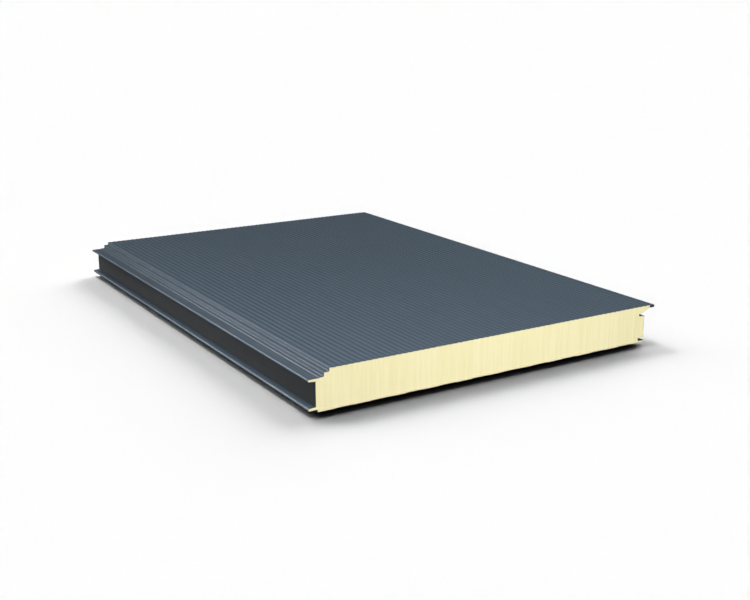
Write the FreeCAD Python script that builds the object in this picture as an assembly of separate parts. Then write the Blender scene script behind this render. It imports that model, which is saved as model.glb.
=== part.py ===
import FreeCAD, Part
import math
import os

# Insulated wall panel: two roll-formed steel faces on a rigid foam core, all of it one constant
# cross-section drawn out along Y. Millimetres. The section is laid out with x = 0 at the first step
# of the tongue edge, where one cover width begins, and z = 0 at the underside.

# Whole panel
COVER = 1000.0            # width that one panel covers, from step to step
THICK = 100.0             # underside to the crests of the micro-ribs
LENGTH = 1500.0

# Sheets and strips
OUTER_T = 0.6             # outer steel face
INNER_T = 0.5             # inner steel face
TAPE_T = 0.4              # edge tape on the foam between the tongues, or between the grooves
EDGE_R = 2.0              # outside radius of the main bends
FOOT_R = 1.5              # radius in the inside corners
SOFT_R = 6.0              # radius of the shallow bends
NOSE_LAND = 0.2           # straight between the two end radii of a tongue
LEVEL_W = 3.0             # level end of a face where it meets the tape

# Clearances between a panel and its neighbour
FACE_GAP = 3.0            # between the overhang and the neighbour's first step
TIP_LIFT = 0.5            # overhang above the neighbour's ledge
REACH_GAP = 1.5           # tongue tip to the groove's blind end, and tape to tape
FACE_SIDE = 0.4           # groove to tongue on the side of the outer face
CORE_SIDE = 0.9           # groove to tongue on the side of the core
FLOOR_SIDE = 1.2          # inner groove to tongue on the side of the underside
LIP_GAP = 2.5             # inner lip to the neighbour's underside step

# Tongue edge, on the -X side
LEDGE_Z = 91.5            # ledge at the foot of the first step
LEDGE_W = 14.0
STEP_FOOT_R = 2.0         # radius at the foot of each step
FLANGE_Z = 80.6           # fixing flange, which runs out into the outer tongue
TONGUE_X = -54.5          # tips of both tongues
TAPE_X = -35.6            # outside of the edge tape
OUTER_TIP_Z = 75.4        # underside of the outer tongue at its tip
OUTER_ROOT_Z = 73.6       # and where it meets the tape
INNER_TIP_Z = 12.1        # top of the inner tongue at its tip
INNER_ROOT_Z = 13.2       # and where it meets the tape
STEP_X = -31.0            # step that lifts the inner tongue off the underside
STEP_Z = 6.2
JOGGLE_X = -25.0          # joggle that lifts the root of the flange above the tongue
JOGGLE_H = 1.0
JOGGLE_R = 1.5

# Groove edge, on the +X side
TIP_X = COVER - FACE_GAP
TIP_Z = LEDGE_Z + TIP_LIFT
HEM_W = 18.0              # folded hem along the overhang
HEM_FILL_W = 16.0         # filler strip inside it, from the tip inwards
BLIND_X = COVER + TONGUE_X - REACH_GAP    # blind ends of both grooves
THROAT_W = 12.0           # length of the groove's level ceiling
GROOVE_TAPE_X = COVER + TAPE_X - REACH_GAP
LIP_X = COVER + STEP_X - LIP_GAP

# Micro-ribs of the outer face: shallow waves that keep step over the joints
RIBS_PER_COVER = 63
RIB_PITCH = COVER / RIBS_PER_COVER
RIB_DEPTH = 0.8
RIB_START = 5.5           # first crest
RIBS = RIBS_PER_COVER - 2  # whole waves; half a wave more ends in the margin of the overhang

# Lining of the inner face: wide shallow bands, set out from the middle of the underside
BAND_PITCH = 95.0
BAND_W = 47.5             # width of a raised band at half its height
BAND_DEPTH = 0.8
BAND_SLOPE = 5.0
BANDS = int((LIP_X - STEP_X) / BAND_PITCH)

CENTRE_X = (TONGUE_X + TIP_X) / 2


def rounded(corners):
    """Runs of a line through the corners (x, z, radius), its bends rounded."""
    points = [(corners[0][0], corners[0][1])]
    arcs = []
    for (ax, az, _), (x, z, r), (bx, bz, _) in zip(corners, corners[1:], corners[2:]):
        into, out = math.dist((ax, az), (x, z)), math.dist((x, z), (bx, bz))
        ux, uz, vx, vz = (x - ax) / into, (z - az) / into, (bx - x) / out, (bz - z) / out
        turn = math.atan2(ux * vz - uz * vx, ux * vx + uz * vz)
        cut = r * math.tan(abs(turn) / 2)
        start, end = (x - ux * cut, z - uz * cut), (x + vx * cut, z + vz * cut)
        side = math.copysign(r, turn)
        cx, cz = start[0] - uz * side, start[1] + ux * side
        reach = math.dist((x, z), (cx, cz)) / r
        arcs.append((start, (cx + (x - cx) / reach, cz + (z - cz) / reach), end))
        points += [start, end]
    points.append((corners[-1][0], corners[-1][1]))
    runs = []
    for index, start in enumerate(points[::2]):
        runs.append((start, None, points[2 * index + 1]))
        if index < len(arcs):
            runs.append(arcs[index])
    return runs


def waves(x, crest_z):
    """Runs of the micro-ribs: arcs that meet on the mean level, from a crest to a trough."""
    quarter, half_depth = RIB_PITCH / 4, RIB_DEPTH / 2
    radius = (quarter ** 2 + half_depth ** 2) / RIB_DEPTH
    drop = radius - math.sqrt(radius ** 2 - (quarter / 2) ** 2)
    mean, trough_z = crest_z - half_depth, crest_z - RIB_DEPTH
    runs = [((x, crest_z), (x + quarter / 2, crest_z - drop), (x + quarter, mean))]
    x += quarter
    for index in range(2 * RIBS):
        runs.append(((x, mean), (x + quarter, crest_z if index % 2 else trough_z), (x + 2 * quarter, mean)))
        x += 2 * quarter
    runs.append(((x, mean), (x + quarter / 2, trough_z + drop), (x + quarter, trough_z)))
    return runs


def beside(runs, gap):
    """The same runs moved sideways by gap, to the left of their direction."""
    moved = []
    for start, middle, end in runs:
        if middle is None:
            length = math.dist(start, end)
            nx, nz = -(end[1] - start[1]) / length * gap, (end[0] - start[0]) / length * gap
            moved.append(((start[0] + nx, start[1] + nz), None, (end[0] + nx, end[1] + nz)))
            continue
        (ax, az), (bx, bz), (ex, ez) = start, middle, end
        twist = (bx - ax) * (ez - bz) - (bz - az) * (ex - bx)
        sa, sb, se = (p * p + q * q for p, q in (start, middle, end))
        cx = (sa * (bz - ez) + sb * (ez - az) + se * (az - bz)) / (2 * twist)
        cz = (sa * (ex - bx) + sb * (ax - ex) + se * (bx - ax)) / (2 * twist)
        scale = math.copysign(gap, gap * twist) / math.dist(start, (cx, cz))
        moved.append(tuple((p + (cx - p) * scale, q + (cz - q) * scale) for p, q in (start, middle, end)))
    return moved


def vector(point):
    return FreeCAD.Vector(point[0] - CENTRE_X, -LENGTH / 2, point[1])


def section(runs):
    """Flat face inside a closed chain of runs."""
    edges = []
    for start, middle, end in runs:
        if middle is None:
            if math.dist(start, end) > 1e-6:
                edges.append(Part.makeLine(vector(start), vector(end)))
        else:
            edges.append(Part.Arc(vector(start), vector(middle), vector(end)).toShape())
    return Part.Face(Part.Wire(Part.__sortEdges__(edges)))


def back(runs):
    return [(end, middle, start) for start, middle, end in reversed(runs)]


def strip(outside, inside):
    """Section of a sheet between two lines that run the same way."""
    return section(outside + [(outside[-1][2], None, inside[-1][2])] + back(inside)
                   + [(inside[0][0], None, outside[0][0])])


def box(x0, x1, z0, z1):
    corners = [(x0, z0), (x1, z0), (x1, z1), (x0, z1), (x0, z0)]
    return section([(a, None, b) for a, b in zip(corners, corners[1:])])


# Outer face, from the tape under the outer tongue, over the top, to the tape under the groove
root_z = FLANGE_Z + JOGGLE_H
joggle = [(JOGGLE_X - JOGGLE_H / 2, FLANGE_Z, JOGGLE_R), (JOGGLE_X + JOGGLE_H / 2, root_z, JOGGLE_R)]
tongue_r = (FLANGE_Z - OUTER_TIP_Z - NOSE_LAND) / 2
margin_z = THICK - RIB_DEPTH
rib_end = RIB_START + (RIBS + 0.5) * RIB_PITCH
groove_top = FLANGE_Z + FACE_SIDE
slope_w = TAPE_X - LEVEL_W - TONGUE_X
taper = (OUTER_TIP_Z - OUTER_ROOT_Z) / slope_w
groove_foot = OUTER_ROOT_Z - CORE_SIDE
groove_level = GROOVE_TAPE_X - LEVEL_W

outer_line = rounded([
    (TAPE_X, OUTER_ROOT_Z, 0), (TAPE_X - LEVEL_W, OUTER_ROOT_Z, SOFT_R),
    (TONGUE_X, OUTER_TIP_Z, tongue_r), (TONGUE_X, FLANGE_Z, tongue_r),
    *joggle, (-LEDGE_W, root_z, STEP_FOOT_R), (-LEDGE_W, LEDGE_Z, EDGE_R), (0, LEDGE_Z, STEP_FOOT_R),
    (0, THICK, EDGE_R), (RIB_START, THICK, 0)])
outer_line += waves(RIB_START, THICK)
outer_line += rounded([
    (rib_end, margin_z, 0), (TIP_X, margin_z, EDGE_R), (TIP_X, TIP_Z, EDGE_R),
    (TIP_X - HEM_W, TIP_Z, FOOT_R), (BLIND_X + THROAT_W, groove_top, FOOT_R),
    (BLIND_X, groove_top, FOOT_R),
    (BLIND_X, groove_foot + taper * (groove_level - BLIND_X), FOOT_R),
    (groove_level, groove_foot, SOFT_R), (GROOVE_TAPE_X, groove_foot, 0)])
outer_back = beside(outer_line, -OUTER_T)

# Inner face, from the tape over the inner tongue, along the underside, to the tape over the groove
inner_r = (INNER_TIP_Z - STEP_Z - NOSE_LAND) / 2
middle_x = (STEP_X + LIP_X) / 2
bands = []
for index in range(BANDS):
    x = middle_x + (index - (BANDS - 1) / 2) * BAND_PITCH
    for side in (-1, 1):
        foot, crest = x + side * (BAND_W + BAND_SLOPE) / 2, x + side * (BAND_W - BAND_SLOPE) / 2
        bends = [(foot, 0, SOFT_R), (crest, BAND_DEPTH, SOFT_R)]
        bands += bends if side < 0 else bends[::-1]
lip_z = STEP_Z - FLOOR_SIDE
inner_taper = (INNER_ROOT_Z - INNER_TIP_Z) / slope_w
groove_roof = INNER_ROOT_Z + CORE_SIDE

inner_line = rounded([
    (TAPE_X, INNER_ROOT_Z, 0), (TAPE_X - LEVEL_W, INNER_ROOT_Z, SOFT_R),
    (TONGUE_X, INNER_TIP_Z, inner_r), (TONGUE_X, STEP_Z, inner_r),
    (STEP_X, STEP_Z, FOOT_R), (STEP_X, 0, EDGE_R), *bands,
    (LIP_X, 0, EDGE_R), (LIP_X, lip_z, EDGE_R), (BLIND_X, lip_z, FOOT_R),
    (BLIND_X, groove_roof - inner_taper * (groove_level - BLIND_X), FOOT_R),
    (groove_level, groove_roof, SOFT_R), (GROOVE_TAPE_X, groove_roof, 0)])
inner_back = beside(inner_line, INNER_T)

# Everything between the two faces and the two tapes
tongue_tape = box(TAPE_X, TAPE_X + TAPE_T, INNER_ROOT_Z - INNER_T, OUTER_ROOT_Z + OUTER_T)
groove_tape = box(GROOVE_TAPE_X - TAPE_T, GROOVE_TAPE_X, groove_roof + INNER_T, groove_foot - OUTER_T)
between = section(
    outer_back + [(outer_back[-1][2], None, inner_back[-1][2])]
    + back(inner_back) + [(inner_back[0][0], None, outer_back[0][0])])
hem = box(TIP_X - HEM_FILL_W, TIP_X, TIP_Z, THICK)

sections = {
    "outer_sheet": strip(outer_line, outer_back),
    "inner_sheet": strip(inner_line, inner_back),
    "foam_core": between.cut([hem, tongue_tape, groove_tape]),
    "hem_filler": between.common(hem),
    "tongue_tape": tongue_tape,
    "groove_tape": groove_tape,
}

os.makedirs("parts", exist_ok=True)
for node, face in sections.items():
    solid = face.extrude(FreeCAD.Vector(0, LENGTH, 0)).Solids[0]
    solid.exportStep("parts/" + node + ".step")
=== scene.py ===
import logging
import math
from dataclasses import dataclass
from enum import Enum
from typing import Any, Callable, Mapping, Sequence, Union

import bmesh
import bpy
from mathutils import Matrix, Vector


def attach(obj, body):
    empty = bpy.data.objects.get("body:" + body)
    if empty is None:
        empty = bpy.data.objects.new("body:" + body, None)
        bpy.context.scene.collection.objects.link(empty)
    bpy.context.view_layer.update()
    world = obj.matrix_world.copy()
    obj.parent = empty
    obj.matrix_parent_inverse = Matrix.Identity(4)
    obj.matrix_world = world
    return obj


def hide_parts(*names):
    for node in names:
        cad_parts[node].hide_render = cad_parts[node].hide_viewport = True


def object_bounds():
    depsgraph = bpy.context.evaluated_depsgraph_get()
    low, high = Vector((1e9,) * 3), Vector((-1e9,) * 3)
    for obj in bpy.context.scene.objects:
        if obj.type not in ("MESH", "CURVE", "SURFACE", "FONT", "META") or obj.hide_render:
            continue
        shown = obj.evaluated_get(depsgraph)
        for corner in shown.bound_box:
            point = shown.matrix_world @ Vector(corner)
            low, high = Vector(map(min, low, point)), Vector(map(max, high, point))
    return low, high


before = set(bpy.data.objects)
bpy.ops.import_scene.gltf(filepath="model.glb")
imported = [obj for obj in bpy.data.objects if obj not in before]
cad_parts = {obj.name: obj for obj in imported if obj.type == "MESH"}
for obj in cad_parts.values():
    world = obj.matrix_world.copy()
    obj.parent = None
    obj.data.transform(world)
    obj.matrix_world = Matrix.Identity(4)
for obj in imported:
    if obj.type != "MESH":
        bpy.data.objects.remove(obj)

LOG = logging.getLogger("panel")
CAD_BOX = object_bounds()
MM = 0.001
RIB_DEPTH = 0.8 * MM
TOUCH = 0.01 * MM  # places closer than this are one place

Colour = tuple[float, float, float]
Number = Union[float, "Value"]


# ---------------------------------------------------------------- shader maths


class Value:
    """A shader number: sums and products written on it add their Math nodes."""

    def __init__(self, graph: "Graph", socket: bpy.types.NodeSocket) -> None:
        """Wrap a socket.

        Args:
            graph: The graph that the socket belongs to.
            socket: The output socket that carries the number.
        """
        self.graph = graph
        self.socket = socket

    def maths(self, operation: str, first: Number, second: Number) -> "Value":
        """Add one Math node.

        Args:
            operation: The Math node's operation.
            first: The first operand.
            second: The second operand.

        Returns:
            The node's result.
        """
        node = self.graph.node("ShaderNodeMath", {"operation": operation}, {0: first, 1: second})
        return Value(self.graph, node.outputs[0])

    def __add__(self, other: Number) -> "Value":
        """Sum of this and another number."""
        return self.maths("ADD", self, other)

    def __radd__(self, other: Number) -> "Value":
        """Sum of another number and this."""
        return self.maths("ADD", other, self)

    def __sub__(self, other: Number) -> "Value":
        """This less another number."""
        return self.maths("SUBTRACT", self, other)

    def __rsub__(self, other: Number) -> "Value":
        """Another number less this."""
        return self.maths("SUBTRACT", other, self)

    def __mul__(self, other: Number) -> "Value":
        """Product of this and another number."""
        return self.maths("MULTIPLY", self, other)

    def __rmul__(self, other: Number) -> "Value":
        """Product of another number and this."""
        return self.maths("MULTIPLY", other, self)

    def ramp(self, low: float, high: float) -> "Value":
        """Bring this number to 0 at low and 1 at high, smoothly and no further.

        Args:
            low: The value that becomes 0.
            high: The value that becomes 1.

        Returns:
            The eased number.
        """
        node = self.graph.node(
            "ShaderNodeMapRange",
            {"interpolation_type": "SMOOTHSTEP", "clamp": True},
            {"Value": self, "From Min": low, "From Max": high, "To Min": 0.0, "To Max": 1.0},
        )
        return Value(self.graph, node.outputs["Result"])


class Graph:
    """A node tree that finishes are written in."""

    def __init__(self, tree: bpy.types.NodeTree) -> None:
        """Clear the tree and keep it."""
        self.tree = tree
        tree.nodes.clear()

    def node(
        self,
        kind: str,
        settings: Mapping[str, Any] | None = None,
        sockets: Mapping[Union[int, str], Any] | None = None,
    ) -> bpy.types.Node:
        """Add a node.

        Args:
            kind: The node's type.
            settings: Its properties, which are set first.
            sockets: Values or links of its inputs, by name or number.

        Returns:
            The new node.
        """
        node = self.tree.nodes.new(kind)
        for name, value in (settings or {}).items():
            setattr(node, name, value)
        for name, value in (sockets or {}).items():
            if isinstance(value, Value):
                value = value.socket
            if isinstance(value, bpy.types.NodeSocket):
                self.tree.links.new(value, node.inputs[name])
            else:
                node.inputs[name].default_value = value
        return node

    def place(self, scale: Sequence[float] = (1.0, 1.0, 1.0)) -> bpy.types.NodeSocket:
        """Point on the piece.

        Args:
            scale: Factors along X, Y and Z.

        Returns:
            The point's socket, in metres times the scale.
        """
        point = self.node("ShaderNodeTexCoord").outputs["Object"]
        settings, sockets = {"vector_type": "POINT"}, {"Vector": point, "Scale": scale}
        return self.node("ShaderNodeMapping", settings, sockets).outputs["Vector"]

    def axis(self, name: str) -> Value:
        """One coordinate of the point on the piece, in metres."""
        return Value(self, self.node("ShaderNodeSeparateXYZ", {}, {0: self.place()}).outputs[name])

    def noise(self, scale: Sequence[float], detail: float = 3.0, roughness: float = 0.5) -> Value:
        """Smooth noise.

        Args:
            scale: Waves in a metre along X, Y and Z.
            detail: Octaves of finer noise.
            roughness: Strength of the finer noise.

        Returns:
            The noise, about 0 to 1.
        """
        node = self.node(
            "ShaderNodeTexNoise",
            {"noise_dimensions": "3D"},
            {"Vector": self.place(scale), "Scale": 1.0, "Detail": detail, "Roughness": roughness},
        )
        return Value(self, node.outputs[0])

    def cells(self, size: float) -> Value:
        """Round cells, packed at random.

        Args:
            size: Mean size of a cell, in metres.

        Returns:
            Distance to the nearest cell's middle, in cells.
        """
        node = self.node(
            "ShaderNodeTexVoronoi",
            {"feature": "F1"},
            {"Vector": self.place((1 / size,) * 3), "Scale": 1.0},
        )
        return Value(self, node.outputs["Distance"])

    def attribute(self, name: str) -> Value:
        """A number that the mesh carries at its points."""
        return Value(self, self.node("ShaderNodeAttribute", {"attribute_name": name}).outputs["Fac"])

    def blend(self, factor: Number, first: Any, second: Any) -> bpy.types.NodeSocket:
        """Mix two colours.

        Args:
            factor: Share of the second colour.
            first: The first colour, or a socket that carries it.
            second: The second colour, or a socket that carries it.

        Returns:
            The mixed colour's socket.
        """
        def rgba(colour: Any) -> Any:
            """The colour with its alpha, where it is a plain one."""
            return (*colour, 1.0) if isinstance(colour, tuple) else colour

        node = self.node(
            "ShaderNodeMix",
            {"data_type": "RGBA", "clamp_factor": True},
            {0: factor, 6: rgba(first), 7: rgba(second)},
        )
        return node.outputs[2]

    def scale(self, colour: Any, factor: Number) -> bpy.types.NodeSocket:
        """Brighten or darken a colour.

        Args:
            colour: Socket that carries the colour.
            factor: What each channel is multiplied by.

        Returns:
            The scaled colour's socket.
        """
        node = self.node("ShaderNodeVectorMath", {"operation": "SCALE"}, {0: colour, "Scale": factor})
        return node.outputs[0]

    def seen(self, *kinds: str) -> Value:
        """Tell rays apart.

        Args:
            kinds: Kinds of rays, as the Light Path node names them.

        Returns:
            1 for rays of these kinds, and 0 for all others.
        """
        rays = self.node("ShaderNodeLightPath").outputs
        total = Value(self, rays[f"Is {kinds[0]} Ray"])
        for kind in kinds[1:]:
            total = total.maths("MAXIMUM", total, Value(self, rays[f"Is {kind} Ray"]))
        return total

    def bump(self, height: Value, depth: float, strength: float = 1.0) -> bpy.types.NodeSocket:
        """Relief of a depth in metres."""
        node = self.node("ShaderNodeBump", {}, {"Height": height, "Distance": depth, "Strength": strength})
        return node.outputs["Normal"]


def linear(red: int, green: int, blue: int) -> Colour:
    """A screen colour in scene values.

    Args:
        red: Red, 0 to 255.
        green: Green, 0 to 255.
        blue: Blue, 0 to 255.

    Returns:
        The same colour, linear.
    """
    def channel(value: int) -> float:
        """One channel, linear."""
        part = value / 255
        return part / 12.92 if part <= 0.04045 else ((part + 0.055) / 1.055) ** 2.4

    return channel(red), channel(green), channel(blue)


# ---------------------------------------------------------------- finishes


@dataclass(frozen=True)
class Finish:
    """What every finish has: a name, a colour and a plain gloss."""

    name: str
    colour: Colour
    roughness: float
    specular: float = 0.5
    metallic: float = 0.0

    def toned(self, factor: float) -> Colour:
        """The finish's colour, lighter or darker by a factor."""
        return tuple(channel * factor for channel in self.colour)

    def material(self) -> bpy.types.Material:
        """Make the material.

        Returns:
            The finished material.
        """
        material = bpy.data.materials.new(self.name)
        material.use_nodes = True
        material.diffuse_color = (*self.colour, 1.0)
        graph = Graph(material.node_tree)
        varying = self.surface(graph)
        shader = graph.node(
            "ShaderNodeBsdfPrincipled",
            {},
            {"Metallic": self.metallic, "Specular IOR Level": self.specular, **varying},
        )
        graph.node("ShaderNodeOutputMaterial", {}, {"Surface": shader.outputs[0]})
        return material

    def surface(self, graph: Graph) -> dict[str, Any]:
        """Inputs of the shader that this finish sets by itself."""
        raise NotImplementedError


@dataclass(frozen=True)
class CoilPaint(Finish):
    """Satin coil coating on rolled steel, with painted light and shade: bends lightened as rubbed paint and
    as painted highlight, less so on the ribs; crests with painted highlight, troughs with painted shade;
    flange and steps painted darker as shade.
    """

    primer_and_highlight: Colour = (0.28, 0.28, 0.28)  # shows where a bend is rubbed, and lightens it as a painted highlight
    dust: Colour = (0.45, 0.45, 0.44)
    peel: float = 0.012 * MM  # depth of the orange peel
    crest: float = CAD_BOX[1].z  # height of the ribs' crests
    depth: float = RIB_DEPTH  # crests to troughs
    bump_margin: float = 0.2 * MM  # how far below the troughs the ribs' bump sets in
    tone_margin: float = 0.5 * MM  # and the ribbed face's painted highlight and shade
    steep: float = 1.5  # height of the ribs' bump, in heights of the ribs
    shade: float = 0.12  # painted highlight on the crests and painted shade in the troughs: how much paler and darker they are
    joint_foot: float = 70.0 * MM  # height above which the flange and the steps lie
    joint_fade: float = 2.0 * MM  # height over which their painted shade sets in
    joint_painted_shade: float = 0.17  # painted shade: how much darker they are than the ribbed face
    rub_and_highlight: float = 0.35  # how far a sharp bend is lightened: rubbed paint and painted highlight
    rib_rub_and_highlight: float = 0.4  # share of it on the ribs
    coat: float = 0.015  # weight of the clear coat
    coat_roughness: float = 0.28
    coat_ior: float = 3.0

    def surface(self, graph: Graph) -> dict[str, Any]:
        """Faint roll lines along the sheet, broad tone, orange peel, bends lightened as rubbed paint and
        painted highlight, crests with painted highlight, troughs with painted shade, and painted shade on
        the flange and steps.

        Args:
            graph: The material's graph.

        Returns:
            Values and links of the shader's inputs, by name.
        """
        lines = graph.noise((90.0, 0.7, 90.0), 2.0, 0.5)
        broad = graph.noise((2.2, 1.4, 2.2), 2.0)
        grain = graph.noise((900.0, 900.0, 900.0), 2.0)
        patchy = graph.noise((30.0, 6.0, 30.0), 3.0, 0.6).ramp(0.3, 0.75)
        paint = graph.blend(0.3 * lines + 0.7 * broad, self.toned(0.965), self.toned(1.035))
        trough = self.crest - self.depth
        bump_foot = trough - self.bump_margin
        height = graph.axis("Z")
        ribbed = height.ramp(trough - self.tone_margin, trough)
        rise = height.ramp(bump_foot, self.crest) * (self.crest - bump_foot)
        # Painted shade on the flange and the steps, which lie below the ribbed face
        in_joint = height.ramp(self.joint_foot, self.joint_foot + self.joint_fade) * (1 - ribbed)
        # Painted light and shade on the ribs: crests paler, troughs darker
        tone = 1 + self.shade * ribbed * (2 * height.ramp(trough, self.crest) - 1)
        paint = graph.scale(paint, tone * (1 - self.joint_painted_shade * in_joint))
        dusty = graph.noise((420.0, 260.0, 420.0), 3.0, 0.7).ramp(0.62, 0.8) * 0.03
        paint = graph.blend(dusty, paint, self.dust)
        # Bends lightened: partly rubbed paint, partly painted highlight
        worn_and_highlit = graph.attribute("bend") * (0.06 + 0.3 * patchy)
        less_on_ribs = 1 - (1 - self.rib_rub_and_highlight) * ribbed
        return {
            "Base Color": graph.blend(worn_and_highlit * self.rub_and_highlight * less_on_ribs, paint, self.primer_and_highlight),
            "Roughness": self.roughness + 0.08 * (broad - 0.5) + 0.03 * (lines - 0.5),
            "Coat Weight": self.coat * (1 + 0.3 * (broad - 0.5)),
            "Coat Roughness": self.coat_roughness,
            "Coat IOR": self.coat_ior,
            "Normal": graph.bump(grain * self.peel + rise * self.steep, 1.0),
        }


@dataclass(frozen=True)
class CutSteel(Finish):
    """Bare sheared edge of the galvanised sheet."""

    marks_depth: float = 0.02 * MM

    def surface(self, graph: Graph) -> dict[str, Any]:
        """Zinc grey with short shear marks across the edge.

        Args:
            graph: The material's graph.

        Returns:
            Values and links of the shader's inputs, by name.
        """
        marks = graph.noise((500.0, 500.0, 2500.0), 3.0)
        tone = graph.noise((40.0, 40.0, 40.0), 2.0)
        return {
            "Base Color": graph.blend(0.5 * marks + 0.5 * tone, self.toned(0.7), self.colour),
            "Roughness": self.roughness + 0.2 * (marks - 0.5),
            "Normal": graph.bump(marks, self.marks_depth),
        }


@dataclass(frozen=True)
class RigidFoam(Finish):
    """Cut face of fine closed-cell foam."""

    shade: Colour = linear(226, 212, 152)  # of its denser streaks and skin, and of the painted shade in its open pores
    cell: float = 0.9 * MM
    pore_spacing: float = 8.1 * MM  # between the open pores
    skin: float = 7.0 * MM  # depth of the denser foam under each face
    relief: float = 0.12 * MM

    def surface(self, graph: Graph) -> dict[str, Any]:
        """Soft upright streaks from foaming, fine cells, a few open pores darkened with painted shade, and
        a denser skin.

        Args:
            graph: The material's graph.

        Returns:
            Values and links of the shader's inputs, by name.
        """
        streaks = graph.noise((130.0, 130.0, 6.0), 3.0, 0.6)
        broad = graph.noise((9.0, 9.0, 3.0), 2.0)
        cells = graph.cells(self.cell)
        mottle = graph.noise((380.0, 380.0, 160.0), 2.0, 0.6)
        pores = 1 - graph.cells(self.pore_spacing).ramp(0.05, 0.16)
        height = graph.axis("Z")
        low, high = CAD_BOX[0].z, CAD_BOX[1].z
        skin = 1 - height.ramp(low, low + self.skin) * (1 - height.ramp(high - self.skin, high))
        tone = 0.6 * streaks.ramp(0.32, 0.68) + 0.15 * broad.ramp(0.3, 0.7) + 0.25 * mottle.ramp(0.3, 0.7)
        colour = graph.blend(0.42 * (1 - tone), self.colour, self.shade)
        # The open pores are darkened as painted shade; the cells and the skin keep the foam's own tone
        colour = graph.blend(cells * 0.1 + pores * 0.35 + skin * 0.1, colour, self.shade)
        relief = 0.5 * cells + 0.9 * graph.noise((260.0, 260.0, 120.0), 4.0, 0.6) - 1.2 * pores
        return {
            "Base Color": colour,
            "Roughness": self.roughness - 0.1 * cells,
            "Normal": graph.bump(relief, self.relief, 0.8),
        }


@dataclass(frozen=True)
class EdgePaper(Finish):
    """Charcoal coated paper that closes the foam's long sides."""

    fibre: Colour = (0.04, 0.042, 0.045)
    scuff: Colour = (0.1, 0.1, 0.1)
    relief: float = 0.4 * MM

    def surface(self, graph: Graph) -> dict[str, Any]:
        """Fibres along the strip, soft creases and slight scuffs.

        Args:
            graph: The material's graph.

        Returns:
            Values and links of the shader's inputs, by name.
        """
        fibres = graph.noise((900.0, 90.0, 900.0), 4.0, 0.7)
        crease = graph.noise((30.0, 3.5, 45.0), 3.0, 0.6)
        scuffs = graph.noise((200.0, 18.0, 160.0), 4.0, 0.7).ramp(0.6, 0.78)
        colour = graph.blend(0.35 * fibres + 0.25 * crease, self.colour, self.fibre)
        return {
            "Base Color": graph.blend(scuffs * 0.14, colour, self.scuff),
            "Roughness": self.roughness + 0.12 * (fibres - 0.5),
            "Normal": graph.bump(0.25 * fibres + crease, self.relief, 0.6),
        }


@dataclass(frozen=True)
class CellRubber(Finish):
    """Near-black cellular strip."""

    cell: float = 0.6 * MM
    relief: float = 0.2 * MM

    def surface(self, graph: Graph) -> dict[str, Any]:
        """Fine cells and a faint bloom.

        Args:
            graph: The material's graph.

        Returns:
            Values and links of the shader's inputs, by name.
        """
        cells = graph.cells(self.cell)
        bloom = graph.noise((120.0, 20.0, 120.0), 3.0)
        return {
            "Base Color": graph.blend(0.5 * cells + 0.3 * bloom, self.colour, self.toned(2.2)),
            "Roughness": self.roughness - 0.15 * bloom,
            "Normal": graph.bump(cells, self.relief, 0.8),
        }


PAINT = CoilPaint("coil_paint", linear(73, 85, 96), roughness=0.5, specular=0.0)
EDGE_STEEL = CutSteel("cut_steel", linear(168, 170, 170), roughness=0.45, metallic=0.6)
FOAM = RigidFoam("rigid_foam", linear(247, 240, 196), roughness=0.85, specular=0.0)
PAPER = EdgePaper("edge_paper", linear(20, 22, 23), roughness=0.62, specular=0.035)
RUBBER = CellRubber("cell_rubber", linear(24, 26, 22), roughness=0.8, specular=0.2)


# ---------------------------------------------------------------- formed sheets


@dataclass(frozen=True)
class Bend:
    """A corner of a sheet's section, in metres, with its outside radius."""

    x: float
    z: float
    radius: float = 0.0

    def at(self, point: Vector) -> bool:
        """Whether a point of the sheet lies on this corner."""
        return abs(point.x - self.x) < TOUCH and abs(point.z - self.z) < TOUCH


@dataclass(frozen=True)
class MicroRibs:
    """Shallow waves along the outer face: arcs that meet on their mean level."""

    pitch: float
    waves: int
    depth: float = RIB_DEPTH

    @property
    def radius(self) -> float:
        """Radius of the arcs."""
        return ((self.pitch / 4) ** 2 + (self.depth / 2) ** 2) / self.depth

    @property
    def slope(self) -> float:
        """Slope where two arcs meet, in radians."""
        return math.asin(self.pitch / 4 / self.radius)

    @property
    def width(self) -> float:
        """From the first crest to the trough that ends the ribs."""
        return (self.waves + 0.5) * self.pitch

    def bends(self, x: float, crest: float) -> list[Bend]:
        """Corners of the waves.

        Args:
            x: Place of the first crest.
            crest: Height of the crests.

        Returns:
            The corners, to be rounded to the arcs' radius.
        """
        mean = crest - self.depth / 2
        peak = self.pitch / 4 * math.tan(self.slope)
        ease = self.radius * math.tan(self.slope / 2)
        corners = [Bend(x + ease, crest, self.radius)]
        for index in range(2 * self.waves):
            sign = 1 if index % 2 else -1
            corners.append(Bend(x + (index + 1) * self.pitch / 2, mean + sign * peak, self.radius))
        corners.append(Bend(x + self.width - ease, crest - self.depth, self.radius))
        return corners


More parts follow.
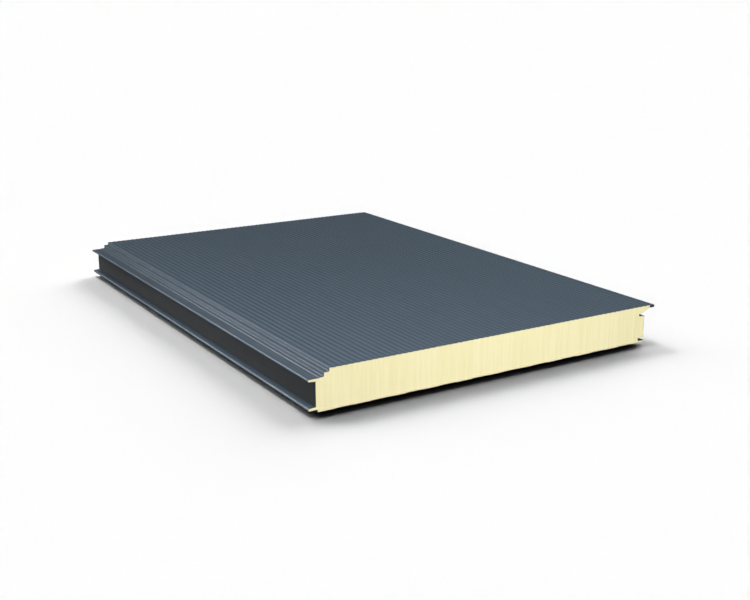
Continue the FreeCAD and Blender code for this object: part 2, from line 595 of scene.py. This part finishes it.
@dataclass(frozen=True)
class Joint:
    """Sizes that the tongue edge and the groove edge share, in metres."""

    box: tuple[Vector, Vector]
    face_gap: float = 3.0 * MM  # between the overhang and the neighbour's first step
    tongue_reach: float = 54.5 * MM  # tongue tips to the first step
    tape_in: float = 35.6 * MM  # outside of the tape to the first step
    level: float = 3.0 * MM  # level end of a face where it meets the tape
    ledge: float = 91.5 * MM  # height of the ledge at the foot of the first step
    ledge_width: float = 14.0 * MM
    flange: float = 80.6 * MM  # height of the fixing flange, which runs out into the outer tongue
    outer_tip: float = 75.4 * MM  # underside of the outer tongue at its tip
    outer_root: float = 73.6 * MM  # and where it meets the tape
    inner_tip: float = 12.1 * MM  # top of the inner tongue at its tip
    inner_root: float = 13.2 * MM  # and where it meets the tape
    step_in: float = 31.0 * MM  # underside's step to the first step
    step: float = 6.2 * MM  # how far it lifts the inner tongue
    tip_lift: float = 0.5 * MM  # overhang above the neighbour's ledge
    reach_gap: float = 1.5 * MM  # tongue tip to the groove's blind end, and tape to tape
    face_side: float = 0.4 * MM  # groove to tongue on the side of the outer face
    core_side: float = 0.9 * MM  # groove to tongue on the side of the core
    floor_side: float = 1.2 * MM  # inner groove to tongue on the side of the underside
    lip_gap: float = 2.5 * MM  # inner lip to the neighbour's underside step
    edge_radius: float = 2.0 * MM  # outside radius of the main bends
    foot_radius: float = 1.5 * MM  # in the inside corners
    soft_radius: float = 6.0 * MM  # of the shallow bends
    nose_land: float = 0.2 * MM  # straight between the two end radii of a tongue

    @property
    def tongue(self) -> float:
        """Tips of both tongues."""
        return self.box[0].x

    @property
    def start(self) -> float:
        """First step, where the cover width begins."""
        return self.tongue + self.tongue_reach

    @property
    def overhang(self) -> float:
        """Tip of the overhang."""
        return self.box[1].x

    @property
    def cover(self) -> float:
        """Cover width of the panel."""
        return self.overhang + self.face_gap - self.start

    @property
    def tape(self) -> float:
        """Outside of the tape between the tongues."""
        return self.start - self.tape_in

    @property
    def groove_tape(self) -> float:
        """Outside of the tape between the grooves."""
        return self.tape + self.cover - self.reach_gap

    @property
    def blind(self) -> float:
        """Blind ends of both grooves."""
        return self.tongue + self.cover - self.reach_gap

    def taper(self, tip: float, root: float) -> float:
        """Slope of a tongue's or a groove's inner side."""
        return (tip - root) / (self.tape - self.level - self.tongue)


@dataclass
class FormedSheet:
    """A sheet of steel, roll-formed along its length from one outline."""

    joint: Joint
    name: str
    node: str  # solid that the sheet stands for
    slot: str  # name of its replaceable material; not used here
    thickness: float = 0.6 * MM
    arc_share: float = 0.998  # of a corner's full arc, so that neighbouring arcs stay apart
    arc_facets: float = 7.0  # in a radian of bend
    least_facets: int = 4  # in any corner
    seam: float = 0.02 * MM  # points this close are merged
    sharp_turn: float = math.radians(10)  # between facets, where a bend is fully lightened: rubbed paint and painted highlight
    smooth_turn: float = math.radians(35)  # between facets, up to which they are shaded as one

    def outline(self) -> list[Bend]:
        """Corners of the outside of the sheet, from tape to tape."""
        raise NotImplementedError

    def build(self, paint: bpy.types.Material, edge: bpy.types.Material) -> bpy.types.Object:
        """Form the sheet and dress it.

        Args:
            paint: Material of both faces.
            edge: Material of the sheared edges.

        Returns:
            The finished piece.
        """
        bends = self.outline()
        piece = self.lay_strip(bends)
        self.fold(piece, bends)
        self.round_bends(piece, bends)
        self.mark_bends(piece)
        piece.data.materials.append(paint)
        piece.data.materials.append(edge)
        self.thicken(piece)
        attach(piece, "root")
        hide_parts(self.node)
        LOG.info("%s: %d faces", self.name, len(piece.data.polygons))
        return piece

    def lay_strip(self, bends: Sequence[Bend]) -> bpy.types.Object:
        """Lay the first level run of the sheet as a strip.

        Args:
            bends: The outline.

        Returns:
            The strip, in edit mode.
        """
        first, second = bends[0], bends[1]
        low, high = self.joint.box
        deselect()
        bpy.ops.mesh.primitive_plane_add(size=1.0, location=(0.0, 0.0, 0.0))
        piece = bpy.context.object
        piece.name = piece.data.name = self.name
        bpy.ops.object.mode_set(mode="EDIT")
        bpy.ops.transform.resize(value=(abs(second.x - first.x), high.y - low.y, 1.0))
        bpy.ops.transform.translate(value=((first.x + second.x) / 2, (low.y + high.y) / 2, first.z))
        return piece

    def fold(self, piece: bpy.types.Object, bends: Sequence[Bend]) -> None:
        """Draw the strip's leading edge along the rest of the outline.

        Args:
            piece: The strip, in edit mode.
            bends: The outline.
        """
        bpy.ops.mesh.select_mode(type="EDGE")
        lead = bends[1]
        select_edges(piece, lambda one, other: lead.at(one) and lead.at(other))
        for last, corner in zip(bends[1:], bends[2:]):
            step = (corner.x - last.x, 0.0, corner.z - last.z)
            bpy.ops.mesh.extrude_edges_move(TRANSFORM_OT_translate={"value": step})

    def round_bends(self, piece: bpy.types.Object, bends: Sequence[Bend]) -> None:
        """Round the long edges at the corners, those of one radius and turn together.

        Args:
            piece: The folded strip, in edit mode.
            bends: The outline.
        """
        groups: dict[tuple[float, float], list[Bend]] = {}
        for before, bend, after in zip(bends, bends[1:], bends[2:]):
            into = Vector((bend.x - before.x, bend.z - before.z))
            out = Vector((after.x - bend.x, after.z - bend.z))
            kind = round(bend.radius, 6), round(into.angle(out), 3)
            groups.setdefault(kind, []).append(bend)
        for (radius, turn), group in groups.items():
            select_edges(piece, lambda one, other: any(bend.at(one) and bend.at(other) for bend in group))
            bpy.ops.mesh.bevel(
                offset_type="OFFSET",
                offset=radius * math.tan(turn / 2) * self.arc_share,
                segments=max(self.least_facets, round(turn * self.arc_facets)),
                profile=0.5,
                affect="EDGES",
                clamp_overlap=False,
            )
        bpy.ops.mesh.select_all(action="SELECT")
        bpy.ops.mesh.remove_doubles(threshold=self.seam)
        bpy.ops.object.mode_set(mode="OBJECT")

    def mark_bends(self, piece: bpy.types.Object) -> None:
        """Turn the sheet's faces outwards, and write how sharply it is bent at each point.

        Args:
            piece: The sheet, still without its thickness.
        """
        mesh = bmesh.new()
        mesh.from_mesh(piece.data)
        bmesh.ops.recalc_face_normals(mesh, faces=mesh.faces)
        middle = (self.joint.box[0].z + self.joint.box[1].z) / 2
        outermost = max(mesh.faces, key=lambda face: abs(face.calc_center_median().z - middle))
        if outermost.normal.z * (outermost.calc_center_median().z - middle) < 0:
            bmesh.ops.reverse_faces(mesh, faces=mesh.faces)
        layer = mesh.verts.layers.float.new("bend")
        for point in mesh.verts:
            folds = [edge for edge in point.link_edges if len(edge.link_faces) == 2]
            turns = [edge.calc_face_angle(0.0) for edge in folds]
            point[layer] = min(1.0, max(turns, default=0.0) / self.sharp_turn)
        mesh.to_mesh(piece.data)
        mesh.free()

    def thicken(self, piece: bpy.types.Object) -> None:
        """Give the sheet its thickness inwards and shade it.

        Args:
            piece: The sheet, dressed, with its faces outwards.
        """
        modifier = piece.modifiers.new("gauge", "SOLIDIFY")
        modifier.thickness = self.thickness
        modifier.offset = -1.0
        modifier.use_even_offset = True
        modifier.use_rim = True
        modifier.material_offset_rim = 1
        deselect()
        piece.select_set(True)
        bpy.context.view_layer.objects.active = piece
        bpy.ops.object.modifier_apply(modifier=modifier.name)
        bpy.ops.object.shade_smooth_by_angle(angle=self.smooth_turn)


@dataclass
class OuterFace(FormedSheet):
    """The micro-ribbed outer face, from the outer tongue to the groove under the overhang."""

    name: str = "outer_face"
    node: str = "outer_sheet"
    slot: str = "outer_face"
    rib_count: int = 63  # in a cover width
    rib_start: float = 5.5 * MM  # first step to the first crest
    step_foot_radius: float = 2.0 * MM
    joggle_in: float = 25.0 * MM  # joggle to the first step
    joggle_height: float = 1.0 * MM
    joggle_radius: float = 1.5 * MM
    hem_width: float = 18.0 * MM
    throat: float = 12.0 * MM  # length of the groove's level ceiling

    def outline(self) -> list[Bend]:
        """Set out the outside, from the tape under the tongue over the top to the groove.

        Returns:
            The corners in order.
        """
        joint = self.joint
        top, foot, edge = joint.box[1].z, joint.foot_radius, joint.edge_radius
        ribs = MicroRibs(joint.cover / self.rib_count, self.rib_count - 2)
        nose = (joint.flange - joint.outer_tip - joint.nose_land) / 2
        joggle, root = joint.start - self.joggle_in, joint.flange + self.joggle_height
        margin = top - ribs.depth
        roof, floor = joint.flange + joint.face_side, joint.outer_root - joint.core_side
        level = joint.groove_tape - joint.level
        blind_floor = floor + joint.taper(joint.outer_tip, joint.outer_root) * (level - joint.blind)
        return [
            Bend(joint.tape, joint.outer_root),
            Bend(joint.tape - joint.level, joint.outer_root, joint.soft_radius),
            Bend(joint.tongue, joint.outer_tip, nose),
            Bend(joint.tongue, joint.flange, nose),
            Bend(joggle - self.joggle_height / 2, joint.flange, self.joggle_radius),
            Bend(joggle + self.joggle_height / 2, root, self.joggle_radius),
            Bend(joint.start - joint.ledge_width, root, self.step_foot_radius),
            Bend(joint.start - joint.ledge_width, joint.ledge, edge),
            Bend(joint.start, joint.ledge, self.step_foot_radius),
            Bend(joint.start, top, edge),
            *ribs.bends(joint.start + self.rib_start, top),
            Bend(joint.overhang, margin, edge),
            Bend(joint.overhang, joint.ledge + joint.tip_lift, edge),
            Bend(joint.overhang - self.hem_width, joint.ledge + joint.tip_lift, foot),
            Bend(joint.blind + self.throat, roof, foot),
            Bend(joint.blind, roof, foot),
            Bend(joint.blind, blind_floor, foot),
            Bend(level, floor, joint.soft_radius),
            Bend(joint.groove_tape, floor),
        ]


@dataclass
class InnerFace(FormedSheet):
    """The shallow-lined inner face, from the inner tongue to the lip of the groove."""

    name: str = "inner_face"
    node: str = "inner_sheet"
    slot: str = "inner_face"
    thickness: float = 0.5 * MM
    band_pitch: float = 95.0 * MM
    band_width: float = 47.5 * MM  # of a raised band at half its height
    band_depth: float = 0.8 * MM
    band_slope: float = 5.0 * MM  # width of a band's sloping side

    def lining(self, left: float, right: float, base: float) -> list[Bend]:
        """Corners of the raised bands, set out from the middle.

        Args:
            left: Left end of the underside.
            right: Right end of the underside.
            base: Height of the underside.

        Returns:
            The corners, from left to right.
        """
        count = int((right - left) / self.band_pitch)
        foot = (self.band_width + self.band_slope) / 2
        crest = (self.band_width - self.band_slope) / 2
        corners = []
        for index in range(count):
            middle = (left + right) / 2 + (index - (count - 1) / 2) * self.band_pitch
            for offset, rise in ((-foot, 0), (-crest, 1), (crest, 1), (foot, 0)):
                height = base + rise * self.band_depth
                corners.append(Bend(middle + offset, height, self.joint.soft_radius))
        return corners

    def outline(self) -> list[Bend]:
        """Set out the outside, from the tape over the tongue along the underside to the groove.

        Returns:
            The corners in order.
        """
        joint = self.joint
        base, foot, edge = joint.box[0].z, joint.foot_radius, joint.edge_radius
        nose = (joint.inner_tip - joint.step - joint.nose_land) / 2
        lip = joint.start - joint.step_in + joint.cover - joint.lip_gap
        lip_top, roof = joint.step - joint.floor_side, joint.inner_root + joint.core_side
        level = joint.groove_tape - joint.level
        blind_roof = roof + joint.taper(joint.inner_tip, joint.inner_root) * (level - joint.blind)
        return [
            Bend(joint.tape, joint.inner_root),
            Bend(joint.tape - joint.level, joint.inner_root, joint.soft_radius),
            Bend(joint.tongue, joint.inner_tip, nose),
            Bend(joint.tongue, joint.step, nose),
            Bend(joint.start - joint.step_in, joint.step, foot),
            Bend(joint.start - joint.step_in, base, edge),
            *self.lining(joint.start - joint.step_in, lip, base),
            Bend(lip, base, edge),
            Bend(lip, lip_top, edge),
            Bend(joint.blind, lip_top, foot),
            Bend(joint.blind, blind_roof, foot),
            Bend(level, roof, joint.soft_radius),
            Bend(joint.groove_tape, roof),
        ]


# ---------------------------------------------------------------- carried nodes


@dataclass
class CarriedNode:
    """A solid of the frame that keeps its shape and gets its finish here."""

    node: str

    def dress(self, material: bpy.types.Material) -> None:
        """Put the material in every slot of the node.

        Args:
            material: The node's finish.
        """
        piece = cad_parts[self.node]
        if not piece.material_slots:
            piece.data.materials.append(material)
        for slot in piece.material_slots:
            slot.material = material
        LOG.info("%s: %s", self.node, material.name)


# ---------------------------------------------------------------- studio


class Lights(Enum):
    """What a lamp lights."""

    ALL = "panel and floor"
    PANEL = "panel alone"
    FLOOR = "floor alone, with the panel's shadow"


@dataclass(frozen=True)
class Lamp:
    """A soft lamp."""

    name: str
    lights: Lights = Lights.ALL
    sheen: bool = True  # whether it shows in glossy surfaces
    wash: bool = True  # whether it lights matt surfaces

    def source(self) -> bpy.types.Light:
        """Make the lamp's light."""
        raise NotImplementedError

    def settle(self, piece: bpy.types.Object) -> None:
        """Put the lamp in its place."""
        raise NotImplementedError

    def hang(self, floor: bpy.types.Object) -> bpy.types.Object:
        """Make the lamp.

        Args:
            floor: The floor, which some lamps leave out and some light alone.

        Returns:
            The lamp's object.
        """
        lamp = self.source()
        piece = bpy.data.objects.new(self.name, lamp)
        bpy.context.scene.collection.objects.link(piece)
        self.settle(piece)
        piece.visible_glossy = self.sheen
        piece.visible_diffuse = self.wash
        if self.lights is not Lights.ALL:
            # Direct light alone: a bounce would carry it past the linking
            lamp.cycles.max_bounces = 0
            lamp.cycles.use_multiple_importance_sampling = False
            group = bpy.data.collections.new(self.name)
            group.objects.link(floor)
            piece.light_linking.receiver_collection = group
            if self.lights is Lights.PANEL:
                group.collection_objects[0].light_linking.link_state = "EXCLUDE"
                piece.light_linking.blocker_collection = group
        return piece


@dataclass(frozen=True)
class SoftSun(Lamp):
    """A round, distant lamp. Its angles are in degrees."""

    bearing: float = 0.0  # from Y towards X
    height: float = 45.0
    spread: float = 40.0
    level: float = 1.0  # at 1, a surface that faces it renders its colour as written

    def source(self) -> bpy.types.Light:
        """Make the lamp's light.

        Returns:
            The light.
        """
        lamp = bpy.data.lights.new(self.name, "SUN")
        lamp.angle = math.radians(self.spread)
        lamp.energy = self.level * math.pi
        return lamp

    def settle(self, piece: bpy.types.Object) -> None:
        """Turn the lamp to its bearing and height.

        Args:
            piece: The lamp's object.
        """
        bearing, height = math.radians(self.bearing), math.radians(self.height)
        along = Vector((math.sin(bearing), math.cos(bearing), 0.0))
        toward = math.cos(height) * along + math.sin(height) * Vector((0.0, 0.0, 1.0))
        piece.rotation_euler = toward.to_track_quat("Z", "Y").to_euler()


@dataclass(frozen=True)
class Softbox(Lamp):
    """A long softbox near the panel, aimed at a point."""

    lights: Lights = Lights.PANEL
    sheen: bool = False
    place: tuple[float, float, float] = (0.0, 0.0, 1.0)
    aim: tuple[float, float, float] = (0.0, 0.0, 0.0)
    size: tuple[float, float] = (1.0, 1.0)
    power: float = 10.0

    def source(self) -> bpy.types.Light:
        """Make the lamp's light.

        Returns:
            The light.
        """
        lamp = bpy.data.lights.new(self.name, "AREA")
        lamp.shape = "RECTANGLE"
        lamp.size, lamp.size_y = self.size
        lamp.energy = self.power
        return lamp

    def settle(self, piece: bpy.types.Object) -> None:
        """Hang the lamp with its long side level.

        Args:
            piece: The lamp's object.
        """
        piece.location = self.place
        heading = Vector(self.aim) - Vector(self.place)
        piece.rotation_euler = heading.to_track_quat("-Z", "Y").to_euler()


# Suns over panel and floor, the floor's own sun, the panel's sheen, then the panel's softboxes: two along
# the tongue edge, four over the top, one in front of the cut end and one for the groove side
LAMPS = (
    SoftSun("high", bearing=-34.0, height=77.8, spread=10.0, level=0.191),
    SoftSun("left", sheen=False, bearing=-24.3, height=31.4, spread=41.0, level=0.253),
    SoftSun("back", bearing=-0.5, height=50.0, spread=23.0, level=0.347),
    SoftSun("right", Lights.FLOOR, bearing=60.4, height=31.6, spread=46.0, level=0.763),
    SoftSun("gloss", Lights.PANEL, wash=False, bearing=-20.0, height=34.0, spread=26.0, level=6.8),
    Softbox("strip", place=(-0.95, -0.4, 0.16), aim=(-0.5, -0.4, 0.1), size=(1.0, 0.15), power=1.5),
    Softbox("side", place=(-1.6, -0.1, 0.25), aim=(-0.5, -0.1, 0.1), size=(2.4, 0.3), power=23.5),
    Softbox("far_side", place=(1.1, 0.0, 0.6), aim=(0.45, 0.0, 0.1), size=(1.8, 0.3), power=1.6),
    Softbox("key", place=(-0.4, -0.9, 0.8), aim=(-0.4, -0.5, 0.1), size=(0.8, 0.5), power=2.3),
    Softbox("fill", place=(0.0, -1.9, 1.2), aim=(0.0, -0.5, 0.1), size=(2.0, 0.6), power=4.3),
    Softbox("top", place=(0.0, 0.0, 2.0), aim=(0.0, 0.0, 0.1), size=(2.0, 2.0), power=7.2),
    Softbox("front", place=(0.17, -2.4, 0.3), aim=(0.05, -0.75, 0.05), size=(1.6, 0.6), power=28.3),
    Softbox("joint_side", place=(2.2, 0.6, 0.05), aim=(0.5, 0.2, 0.05), size=(1.6, 0.08), power=32.0),
)


@dataclass
class Studio:
    """Floor, white surround, lamps and camera."""

    floor_drop: float = 9.0 * MM  # below the panel's underside
    floor_reach: float = 400.0
    white: Colour = (1.0, 1.0, 1.0)
    white_to: tuple[str, ...] = ("Camera", "Glossy", "Transmission")  # rays that see white all round
    floor_bounce: Colour = (0.02, 0.02, 0.02)  # floor to all other rays
    surround: float = 0.006  # strength of the surround to all other rays
    lamps: tuple[Lamp, ...] = LAMPS
    camera: tuple[float, float, float] = (-1.6246, -2.8199, 0.9165)
    yaw: float = 31.589  # degrees from Y towards X
    pitch: float = 15.575  # degrees downwards
    lens: float = 53.868  # millimetres, on a sensor of the next width
    sensor: float = 36.0

    def lay_floor(self) -> bpy.types.Object:
        """Lay a plain pale floor a little under the panel.

        Returns:
            The floor.
        """
        deselect()
        level = CAD_BOX[0].z - self.floor_drop
        bpy.ops.mesh.primitive_plane_add(size=self.floor_reach, location=(0.0, 0.0, level))
        floor = bpy.context.object
        floor.name = "floor"
        material = bpy.data.materials.new("floor")
        material.use_nodes = True
        graph = Graph(material.node_tree)
        colour = graph.blend(graph.seen(*self.white_to), self.floor_bounce, self.white)
        shader = graph.node(
            "ShaderNodeBsdfPrincipled",
            {},
            {"Base Color": colour, "Roughness": 1.0, "Specular IOR Level": 0.0},
        )
        graph.node("ShaderNodeOutputMaterial", {}, {"Surface": shader.outputs[0]})
        floor.data.materials.append(material)
        return floor

    def light(self, floor: bpy.types.Object) -> None:
        """Surround the panel with white and hang the lamps.

        Args:
            floor: The floor.
        """
        world = bpy.data.worlds.new("surround")
        bpy.context.scene.world = world
        world.use_nodes = True
        graph = Graph(world.node_tree)
        strength = graph.seen(*self.white_to) * (1.0 - self.surround) + self.surround
        ground = graph.node("ShaderNodeBackground", {}, {"Color": (*self.white, 1.0), "Strength": strength})
        graph.node("ShaderNodeOutputWorld", {}, {"Surface": ground.outputs[0]})
        for lamp in self.lamps:
            lamp.hang(floor)

    def set_camera(self) -> None:
        """Set up the camera."""
        data = bpy.data.cameras.new("camera")
        data.lens = self.lens
        data.sensor_width = self.sensor
        data.sensor_fit = "HORIZONTAL"
        data.clip_end = self.floor_reach
        piece = bpy.data.objects.new("camera", data)
        bpy.context.scene.collection.objects.link(piece)
        piece.location = self.camera
        piece.rotation_euler = (math.radians(90 - self.pitch), 0.0, math.radians(-self.yaw))
        bpy.context.scene.camera = piece

    def build(self) -> None:
        """Set the whole studio up."""
        self.light(self.lay_floor())
        self.set_camera()
        bpy.context.scene.view_settings.view_transform = "Standard"
        LOG.info("studio: %d lamps", len(self.lamps))


# ---------------------------------------------------------------- helpers


def deselect() -> None:
    """Clear the selection, in object mode."""
    if bpy.context.object and bpy.context.object.mode != "OBJECT":
        bpy.ops.object.mode_set(mode="OBJECT")
    bpy.ops.object.select_all(action="DESELECT")


def select_edges(piece: bpy.types.Object, wanted: Callable[[Vector, Vector], bool]) -> None:
    """Select a mesh's edges by their ends, in edit mode.

    Args:
        piece: The piece in edit mode.
        wanted: Test of an edge's two ends.
    """
    mesh = bmesh.from_edit_mesh(piece.data)
    for part in (*mesh.verts, *mesh.edges, *mesh.faces):
        part.select = False
    for edge in mesh.edges:
        if wanted(edge.verts[0].co, edge.verts[1].co):
            edge.select_set(True)
    bmesh.update_edit_mesh(piece.data)


def main() -> None:
    """Build the panel and its studio."""
    logging.basicConfig(level=logging.INFO, format="%(name)s %(message)s")
    joint = Joint(CAD_BOX)
    paint, edge = PAINT.material(), EDGE_STEEL.material()
    for sheet in (OuterFace(joint), InnerFace(joint)):
        sheet.build(paint, edge)
    paper = PAPER.material()
    CarriedNode("foam_core").dress(FOAM.material())
    CarriedNode("hem_filler").dress(RUBBER.material())
    for node in ("tongue_tape", "groove_tape"):
        CarriedNode(node).dress(paper)
    Studio().build()


if __name__ == "__main__":
    main()
